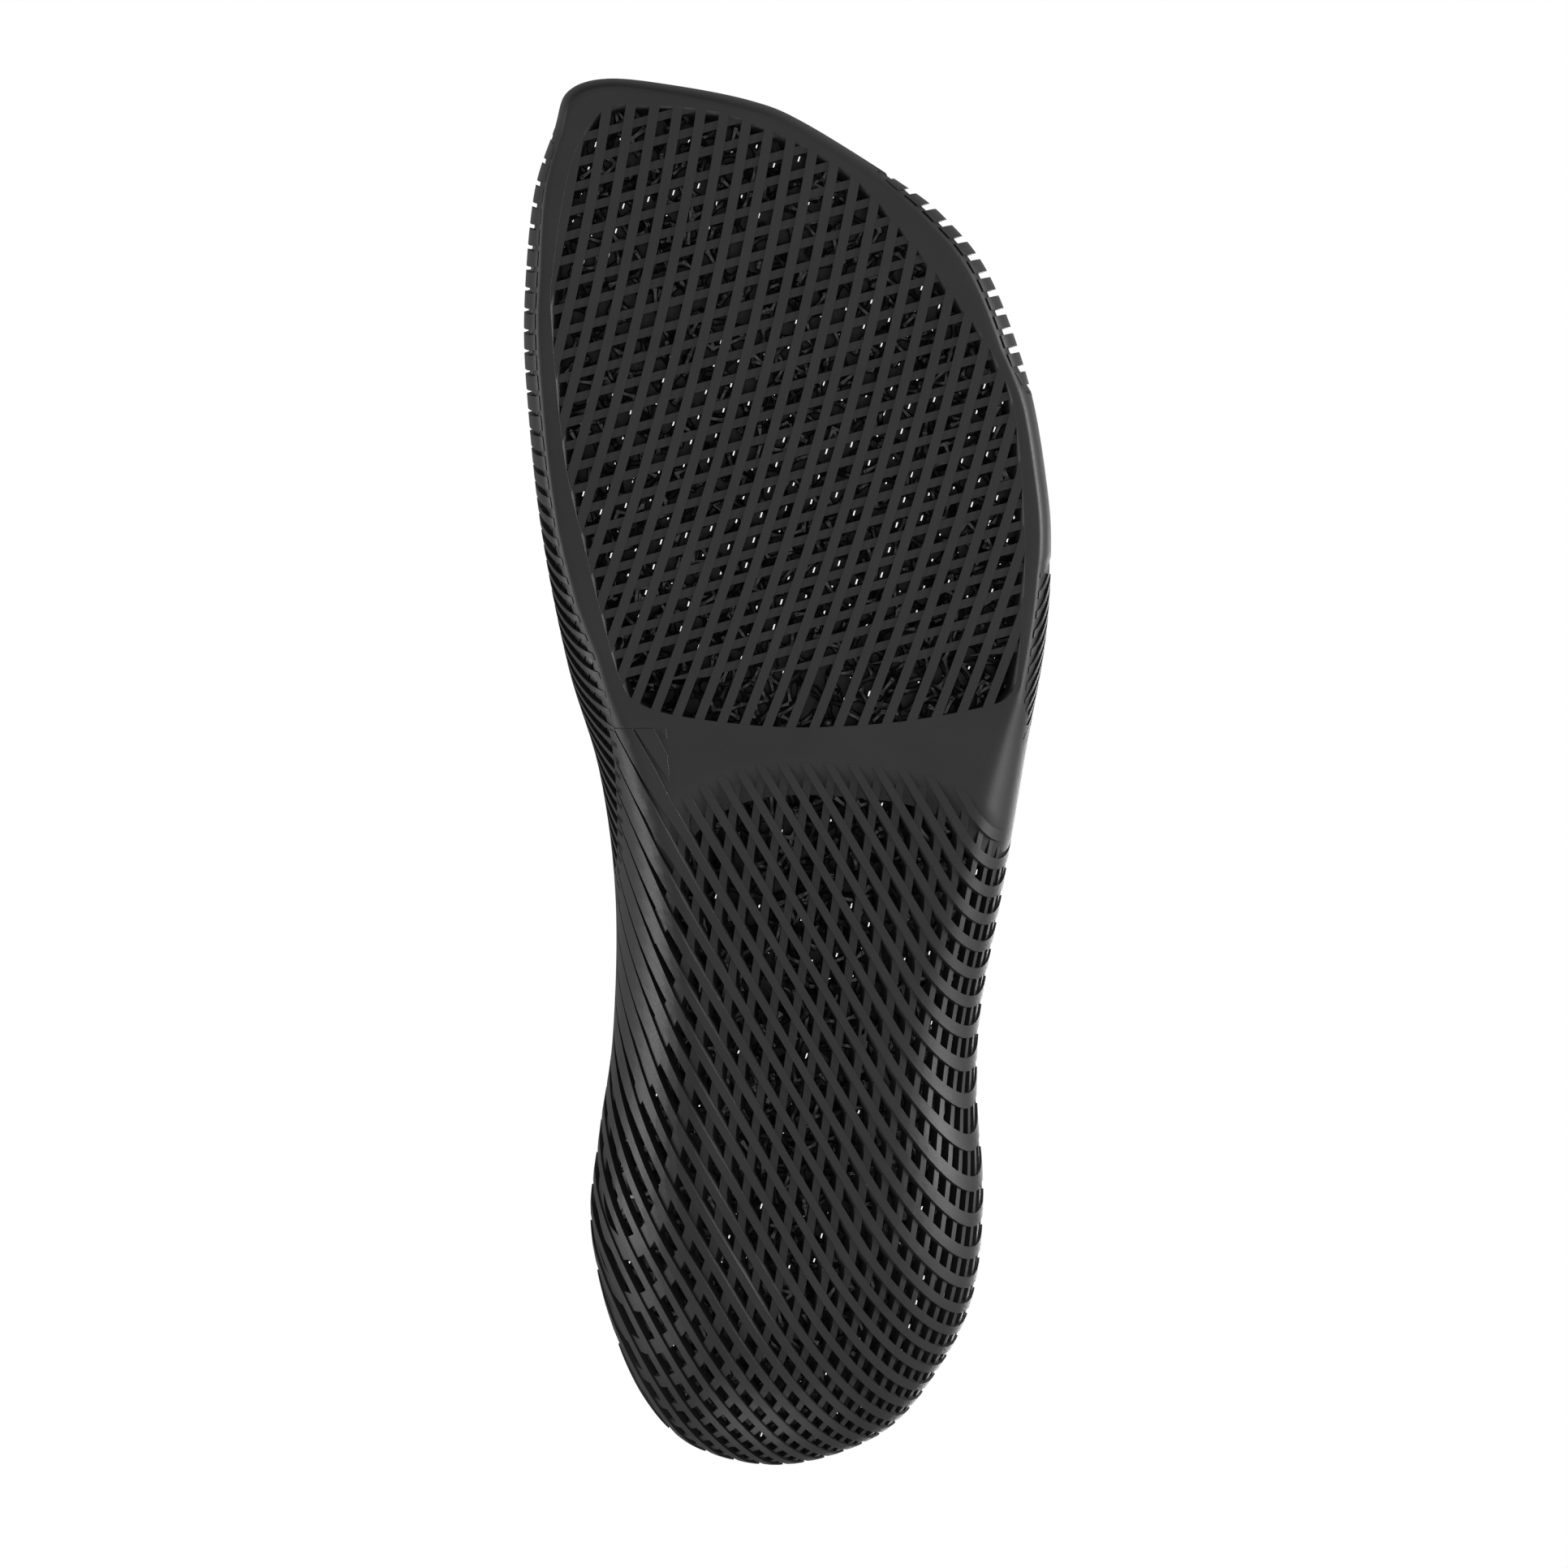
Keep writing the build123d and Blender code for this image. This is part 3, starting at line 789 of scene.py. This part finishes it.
# ---------------------------------------------------------------- stage
def floor_material():
    """Pale and matt from above. It lets everything through from below, where the sole shows."""
    material = bpy.data.materials.new("pale_floor")
    material.use_nodes = True
    nodes, links = material.node_tree.nodes, material.node_tree.links
    shader = nodes["Principled BSDF"]
    shader.inputs["Base Color"].default_value = (0.86, 0.86, 0.86, 1)
    shader.inputs["Roughness"].default_value = 0.9
    clear = nodes.new("ShaderNodeBsdfTransparent")
    mix = nodes.new("ShaderNodeMixShader")
    path, face = nodes.new("ShaderNodeLightPath"), nodes.new("ShaderNodeNewGeometry")
    front = math_node(nodes, links, "SUBTRACT", 1.0, face.outputs["Backfacing"])
    shown = math_node(nodes, links, "MULTIPLY", front, path.outputs["Is Camera Ray"])
    links.new(shown, mix.inputs[0])
    links.new(clear.outputs[0], mix.inputs[1])
    links.new(shader.outputs[0], mix.inputs[2])
    links.new(mix.outputs[0], nodes["Material Output"].inputs["Surface"])
    return material


def make_stage():
    """A wide floor just under the sole."""
    reach = 3.0
    mesh = bpy.data.meshes.new("pale_floor")
    z = CAD_BOX[0][2] - 0.0004
    mesh.from_pydata([(-reach, -reach, z), (reach, -reach, z), (reach, reach, z),
                      (-reach, reach, z)], [], [(0, 1, 2, 3)])
    mesh.materials.append(floor_material())
    floor = bpy.data.objects.new("pale_floor", mesh)
    bpy.context.scene.collection.objects.link(floor)


def area_light(name, place, size, power):
    """A soft square light that faces the insole."""
    data = bpy.data.lights.new(name, "AREA")
    data.size = size
    data.energy = power
    light = bpy.data.objects.new(name, data)
    light.location = place
    light.rotation_euler = (-Vector(place)).to_track_quat("-Z", "Y").to_euler()
    bpy.context.scene.collection.objects.link(light)


def sun(name, way, power, spread):
    """A broad far light that shines along a direction."""
    data = bpy.data.lights.new(name, "SUN")
    data.energy = power
    data.angle = math.radians(spread)
    light = bpy.data.objects.new(name, data)
    light.rotation_euler = Vector(way).to_track_quat("-Z", "Y").to_euler()
    bpy.context.scene.collection.objects.link(light)


def make_light():
    """White studio surroundings that the camera sees brighter than they light."""
    world = bpy.data.worlds.new("studio")
    world.use_nodes = True
    nodes, links = world.node_tree.nodes, world.node_tree.links
    sky = nodes["Background"]
    path = nodes.new("ShaderNodeLightPath")
    power = nodes.new("ShaderNodeMapRange")
    power.inputs["To Min"].default_value = 0.37
    power.inputs["To Max"].default_value = 1.0
    sky.inputs["Color"].default_value = (1, 1, 1, 1)
    links.new(path.outputs["Is Camera Ray"], power.inputs["Value"])
    links.new(power.outputs[0], sky.inputs["Strength"])
    bpy.context.scene.world = world
    sun("from_below", (0.05, 0.1, 1.0), 0.4, 20)
    sun("from_above", (0.3, 0.2, -1.0), 1.0, 25)
    area_light("little_toe_side", (-1.0, 0.15, -0.22), 0.5, 22)
    area_light("big_toe_side", (1.0, -0.1, -0.22), 0.5, 11)
    area_light("heel_side", (0.1, -1.1, -0.25), 0.5, 6)


def make_camera():
    """Straight below the sole, toe up, through a long lens."""
    lens, sensor, width = 400.0, 36.0, 0.2985
    data = bpy.data.cameras.new("camera")
    data.lens, data.sensor_width = lens, sensor
    data.clip_end = 50
    camera = bpy.data.objects.new("camera", data)
    camera.location = (0.0007, -0.0021, -width * lens / sensor)
    camera.rotation_euler = (0, math.pi, 0)
    bpy.context.scene.collection.objects.link(camera)
    bpy.context.scene.camera = camera


bpy.context.scene.view_settings.view_transform = "Standard"
make_stage()
make_light()
make_camera()
frame_and_plate()
forefoot_straps()
heel_straps()
side_ribs()
footbed_straps()
make_collar()
make_core("heel_strut_cushion", -140, -20, "heel_cushion", 6.6, 1.3)
make_core("midfoot_strut_cushion", -20, 8.7, "midfoot_cushion", 6.6, 1.3)
make_core("forefoot_strut_cushion", 8.7, 140, "forefoot_cushion", 6.0, 1.2)
